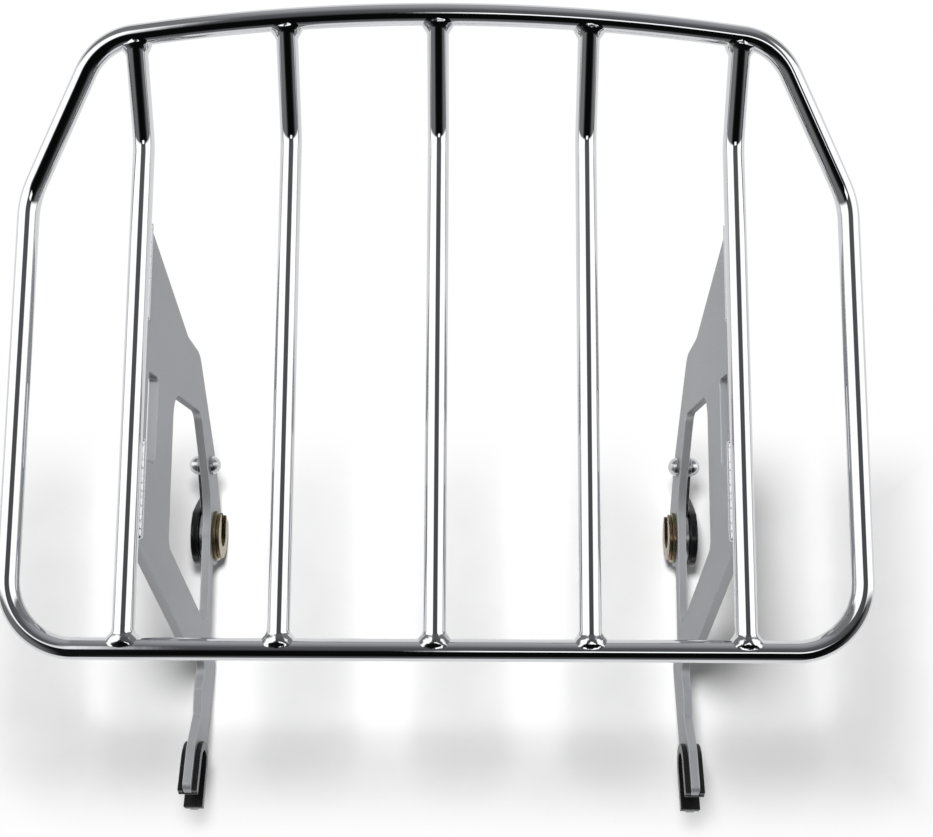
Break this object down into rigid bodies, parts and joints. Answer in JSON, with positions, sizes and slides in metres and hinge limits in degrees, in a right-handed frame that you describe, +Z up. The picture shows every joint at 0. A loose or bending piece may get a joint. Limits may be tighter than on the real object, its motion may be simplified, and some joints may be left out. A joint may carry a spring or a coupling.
{
  "type": "motorcycle luggage rack",
  "caption": "Chromed bent-rod motorcycle luggage rack on two side plates with notched front feet and rotary rear docking latches.",
  "frame": {"origin": "on the front docking axis, midway between the side plates", "axes": "+X to the right, +Y to the rear of the motorcycle, +Z up"},
  "size_m": [0.391, 0.3833, 0.2396],
  "materials": {
    "rod_chrome": "mirror bright chrome",
    "plate_chrome": "bright chrome over flat steel",
    "weld_chrome": "chromed weld",
    "black_plastic": "glossy black",
    "zinc": "yellow zinc",
    "steel": "plain zinc"
  },
  "bodies": {
    "rack": {"hoop": "rod_chrome", "bar_left_outer": "rod_chrome", "bar_left_inner": "rod_chrome", "bar_centre": "rod_chrome", "bar_right_inner": "rod_chrome", "bar_right_outer": "rod_chrome", "front_welds": "weld_chrome", "rear_welds": "weld_chrome", "side_plate_left": "plate_chrome", "plate_welds_left": "weld_chrome", "notch_liner_left": "black_plastic", "keeper_strap_left": "steel", "dome_rivet_left": "rod_chrome", "side_plate_right": "plate_chrome", "plate_welds_right": "weld_chrome", "notch_liner_right": "black_plastic", "keeper_strap_right": "steel", "dome_rivet_right": "rod_chrome"},
    "latch_left": {"latch_barrel_left": "zinc", "retaining_ring_left": "zinc", "latch_lever_left": "black_plastic", "lever_screw_left": "steel"},
    "latch_right": {"latch_barrel_right": "zinc", "retaining_ring_right": "zinc", "latch_lever_right": "black_plastic", "lever_screw_right": "steel"}
  },
  "joints": [
    {"name": "latch_left_turn", "type": "hinge", "parent": "rack", "child": "latch_left", "pos_m": [-0.138, 0.129, -0.028], "axis": [-1, 0, 0], "range_deg": [0, 90]},
    {"name": "latch_right_turn", "type": "hinge", "parent": "rack", "child": "latch_right", "pos_m": [0.138, 0.129, -0.028], "axis": [-1, 0, 0], "range_deg": [0, 90]}
  ]
}
